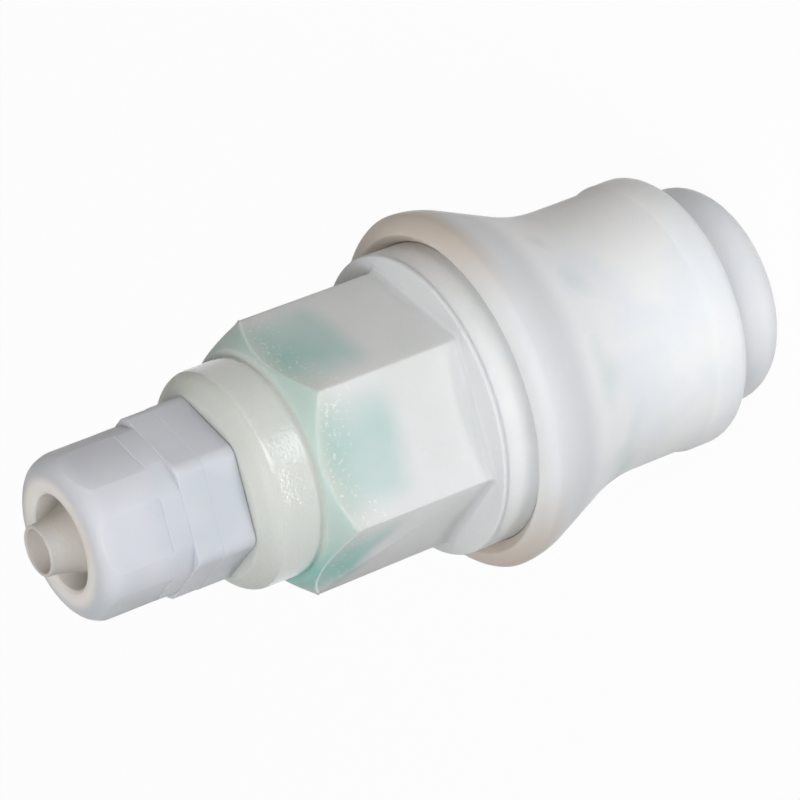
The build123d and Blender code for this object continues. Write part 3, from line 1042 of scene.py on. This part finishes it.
union_nut = turned(
    "union_nut_moulding",
    [
        (nut_corner, nut_bottom),
        (nut_corner, nut_shoulder - NUT_BEVEL),
        (nut_corner - NUT_BEVEL, nut_shoulder),
        (NUT_FRONT_RADIUS, nut_shoulder),
        *arc((NUT_FRONT_RADIUS - NUT_NOSE, nut_top - NUT_NOSE), NUT_NOSE, 0, 90),
        (NUT_MOUTH_RADIUS + NUT_MOUTH_EDGE, nut_top),
        (NUT_MOUTH_RADIUS, nut_top - NUT_MOUTH_EDGE),
        (NUT_MOUTH_RADIUS, nut_top - NUT_MOUTH_LENGTH),
        (NUT_BORE, spigot_top + NUT_RUNOUT),
        (NUT_BORE, nut_bottom),
    ],
)
nut_steps = []
band_bottom = nut_bottom
for band_length, band_step in NUT_BANDS:
    band_corner = corner(NUT_FLATS - band_step)
    nut_steps.append((band_corner, band_bottom))
    band_bottom += band_length
    nut_steps.append((band_corner, band_bottom))
nut_flats = bar(
    "nut_flats", nut_steps, sides=6, turn=radians(30) + NUT_TURN, rounding=NUT_CORNER_ROUNDING
)
keep_inside(union_nut, nut_flats)
ease_edges(union_nut, 0.1)
finish_piece(union_nut, "nut", nut_plastic, "nut_plastic", "union_nut")

# ---------------------------------------------------------------------------
# Socket body: nose with the ball pockets, barrel, flange, and the tube whose
# end is the valve seat
# ---------------------------------------------------------------------------

PLUG_BORE = 5.0
BARREL_RADIUS = 7.8
FLANGE_ROOT = 11.0
TUBE_RADIUS = 8.0
SEAT_RADIUS = 5.9
SEAT_TAPER = 1.5
SEAL_ROOM = 0.35
SOCKET_DEPTH = 3.7
LEAD_IN = 0.8
BALL_COUNT = 6
BALL_LIP = 0.1
BALL_ROOM = 0.05
SEAT_GAP = 0.05
NOSE_ROOM = 0.05

body_top = low("adapter")
spring_seat = high("sleeve_spring") + HAIR
seat = low("valve_seal") - SEAT_GAP
ball_height = (low("locking_ball_1") + high("locking_ball_1")) / 2
ball_radius = (high("locking_ball_1") - low("locking_ball_1")) / 2
ball_circle = reach("locking_ball_1") - ball_radius
socket_floor = ball_height + SOCKET_DEPTH
plug_groove_low = low("plug_seal") - SEAL_ROOM
plug_groove_high = high("plug_seal") + SEAL_ROOM
plug_groove = reach("plug_seal") + HAIR
joint_groove = low("joint_seal") - HAIR
joint_groove_outer = reach("joint_seal") + SEAL_ROOM
joint_seal_radius = reach("joint_seal") - (high("joint_seal") - low("joint_seal")) / 2
joint_groove_inner = 2 * joint_seal_radius - joint_groove_outer

socket_body = turned(
    "socket_body_moulding",
    [
        (GUIDE_RADIUS, RING_LIP),
        (GUIDE_RADIUS + NOSE_WALL - NOSE_ROOM, RING_LIP),
        (GUIDE_RADIUS + NOSE_WALL - NOSE_ROOM, ring_top),
        (BARREL_RADIUS, ring_top),
        (BARREL_RADIUS, spring_seat),
        (FLANGE_ROOT, spring_seat),
        (base_radius, flange_rim),
        (base_radius, body_top),
        (joint_groove_outer, body_top),
        (joint_groove_outer, joint_groove),
        (joint_groove_inner, joint_groove),
        (joint_groove_inner, body_top),
        (TUBE_RADIUS, body_top),
        (TUBE_RADIUS, seat - SEAT_TAPER),
        (SEAT_RADIUS, seat),
        (PLUG_BORE, seat),
        (PLUG_BORE, plug_groove_high),
        (plug_groove, plug_groove_high),
        (plug_groove, plug_groove_low),
        (PLUG_BORE, plug_groove_low),
        (PLUG_BORE, socket_floor),
        (GUIDE_RADIUS, socket_floor - LEAD_IN),
    ],
)

# a stepped drill, turned on its side and copied round, leaves a small lip under each ball
drill_tip = ball_radius - BALL_LIP
drill_step = ball_circle - sqrt(ball_radius**2 - (drill_tip - BALL_ROOM) ** 2)
for number in range(BALL_COUNT):
    pocket_drill = bar(
        "pocket_drill",
        [
            (drill_tip, PLUG_BORE - 1),
            (drill_tip, drill_step),
            (ball_radius + BALL_ROOM, drill_step),
            (ball_radius + BALL_ROOM, BARREL_RADIUS + 1),
        ],
        sides=48,
    )
    pocket_drill.rotation_euler = (0, radians(90), radians(360 / BALL_COUNT) * number)
    pocket_drill.location.z = ball_height * MM
    bpy.ops.object.transform_apply(location=True, rotation=True)
    cut_away(socket_body, pocket_drill)
ease_edges(socket_body, 0.1, segments=2, crisp=body_top)
finish_piece(socket_body, "socket", body_plastic, "body_plastic", "socket_body")

# ---------------------------------------------------------------------------
# Locking balls: one ball blown up from a cube, copied into each pocket
# ---------------------------------------------------------------------------

bpy.ops.object.select_all(action="DESELECT")
bpy.ops.mesh.primitive_cube_add(size=2 * ball_radius * MM)
first_ball = bpy.context.object
apply_modifier(first_ball, "SUBSURF", subdivision_type="SIMPLE", levels=4, render_levels=4)
apply_modifier(
    first_ball,
    "CAST",
    cast_type="SPHERE",
    factor=1,
    use_radius_as_size=False,
    size=ball_radius * MM,
)
bpy.ops.object.shade_smooth()

for number in range(1, BALL_COUNT + 1):
    angle = radians(360 / BALL_COUNT) * (number - 1)
    ball = first_ball.copy()
    ball.data = first_ball.data.copy()
    ball.name = f"polished_ball_{number}"
    bpy.context.collection.objects.link(ball)
    ball.location = (ball_circle * cos(angle) * MM, ball_circle * sin(angle) * MM, ball_height * MM)
    bpy.ops.object.select_all(action="DESELECT")
    bpy.context.view_layer.objects.active = ball
    ball.select_set(True)
    bpy.ops.object.transform_apply(location=True)
    finish_piece(ball, f"ball_{number}", ball_steel, "ball_steel", f"locking_ball_{number}")
bpy.data.objects.remove(first_ball)

# ---------------------------------------------------------------------------
# O-rings, moulded round
# ---------------------------------------------------------------------------

for node, material, slot in (
    ("plug_seal", seal_rubber, "seal_rubber"),
    ("joint_seal", joint_rubber, "joint_rubber"),
):
    section = (high(node) - low(node)) / 2
    centre = (reach(node) - section, (low(node) + high(node)) / 2)
    o_ring = turned(f"{node}_o_ring", arc(centre, section, 0, 360, steps=24)[:-1])
    bpy.ops.object.shade_smooth()
    finish_piece(o_ring, "socket", material, slot, node)

# ---------------------------------------------------------------------------
# Springs: round wire wound on the axis, with both ends ground flat
# ---------------------------------------------------------------------------

WIRE_SIDES = 16
STEPS_PER_TURN = 48


def wound_spring(name, node, wire, turns):
    """A compression spring that fills its node's length."""
    bottom, top = low(node), high(node)
    pitch = (top - bottom) / turns
    coil_radius = reach(node) - wire / 2
    bpy.ops.object.select_all(action="DESELECT")
    bpy.ops.mesh.primitive_circle_add(
        vertices=WIRE_SIDES,
        radius=wire / 2 * MM,
        fill_type="NGON",
        location=(coil_radius * MM, 0, bottom * MM),
        rotation=(radians(90), 0, 0),
    )
    bpy.ops.object.transform_apply(location=True, rotation=True)
    spring = bpy.context.object
    apply_modifier(
        spring,
        "SCREW",
        screw_offset=pitch * MM,
        iterations=turns,
        steps=STEPS_PER_TURN,
        render_steps=STEPS_PER_TURN,
    )
    start_piece(name)
    for height, side in ((bottom, -1), (top, 1)):
        bpy.ops.mesh.select_all(action="SELECT")
        bpy.ops.mesh.bisect(
            plane_co=(0, 0, height * MM), plane_no=(0, 0, side), use_fill=True, clear_outer=True
        )
    end_piece(spring)
    bpy.ops.object.shade_smooth_by_angle(angle=radians(50))
    return spring


sleeve_spring = wound_spring("sleeve_spring_coil", "sleeve_spring", 1.0, 5)
finish_piece(sleeve_spring, "socket", spring_steel, "spring_steel", "sleeve_spring")
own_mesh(sleeve_spring)

valve_spring = wound_spring("valve_spring_coil", "valve_spring", 0.7, 6)
finish_piece(valve_spring, "socket", spring_steel, "spring_steel", "valve_spring")
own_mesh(valve_spring)

# ---------------------------------------------------------------------------
# Valve: winged stem, seal ring and head
# ---------------------------------------------------------------------------

WING_RADIUS = 4.85
WING_THICKNESS = 1.2
WING_BEVEL = 0.8
STEM_RADIUS = 2.2
NECK_RADIUS = 3.4
NECK_LENGTH = 1.5
PIN_RADIUS = 1.5
PIN_GRIP = 2.5
PIN_ROOM = 0.2
HUB_RADIUS = 2.4
FIT_ROOM = 0.05
SEAL_BEVEL = 0.5
HEAD_RIM = 0.3
BOSS_LENGTH = 2.0
BOSS_RADIUS = 2.85

stem_front = low("valve_stem")
seal_front = low("valve_seal")
seal_rear = high("valve_seal")
seal_radius = reach("valve_seal")
neck = seal_front - NECK_LENGTH
head_radius = reach("valve_head")
head_rear = low("valve_spring") - HAIR

valve_stem = bar(
    "valve_stem_moulding",
    [
        (STEM_RADIUS, stem_front),
        (STEM_RADIUS, neck - NECK_LENGTH),
        (NECK_RADIUS, neck),
        (NECK_RADIUS, seal_front),
    ],
)
for quarter in (0, 90):
    bpy.ops.object.select_all(action="DESELECT")
    bpy.ops.mesh.primitive_cube_add(size=1, location=(0, 0, (stem_front + neck) / 2 * MM))
    wings = start_piece("wings")
    bpy.ops.transform.resize(
        value=(2 * WING_RADIUS * MM, WING_THICKNESS * MM, (neck - stem_front) * MM),
        center_override=(0, 0, (stem_front + neck) / 2 * MM),
    )
    bpy.ops.transform.rotate(
        value=radians(quarter), orient_axis="Z", center_override=(0, 0, 0)
    )
    end_piece(wings)
    wing_envelope = bar(
        "wing_envelope",
        [
            (WING_RADIUS - WING_BEVEL, stem_front),
            (WING_RADIUS, stem_front + WING_BEVEL),
            (WING_RADIUS, neck - WING_BEVEL),
            (NECK_RADIUS, neck),
        ],
    )
    keep_inside(wings, wing_envelope)
    cut_away(valve_stem, wings, "UNION")
pin_hole = bar(
    "pin_hole",
    [
        (PIN_RADIUS + FIT_ROOM, seal_front - PIN_GRIP - PIN_ROOM),
        (PIN_RADIUS + FIT_ROOM, seal_front + 1),
    ],
)
cut_away(valve_stem, pin_hole)
ease_edges(valve_stem, 0.1, segments=2)
finish_piece(valve_stem, "valve", valve_plastic, "valve_plastic", "valve_stem")

valve_seal = turned(
    "valve_seal_ring",
    [
        (HUB_RADIUS + FIT_ROOM, seal_front),
        (seal_radius - SEAL_BEVEL, seal_front),
        (seal_radius, seal_front + SEAL_BEVEL),
        (seal_radius, seal_rear),
        (HUB_RADIUS + FIT_ROOM, seal_rear),
    ],
)
ease_edges(valve_seal, 0.12)
finish_piece(valve_seal, "valve", seal_rubber, "seal_rubber", "valve_seal")

valve_head = bar(
    "valve_head_moulding",
    [
        (PIN_RADIUS, seal_front - PIN_GRIP),
        (PIN_RADIUS, seal_front),
        (HUB_RADIUS, seal_front),
        (HUB_RADIUS, seal_rear),
        (head_radius, seal_rear),
        (head_radius, head_rear - HEAD_RIM),
        (head_radius - HEAD_RIM, head_rear),
        (BOSS_RADIUS, head_rear),
        (BOSS_RADIUS, head_rear + BOSS_LENGTH),
    ],
)
ease_edges(valve_head, 0.12)
finish_piece(valve_head, "valve", valve_plastic, "valve_plastic", "valve_head")
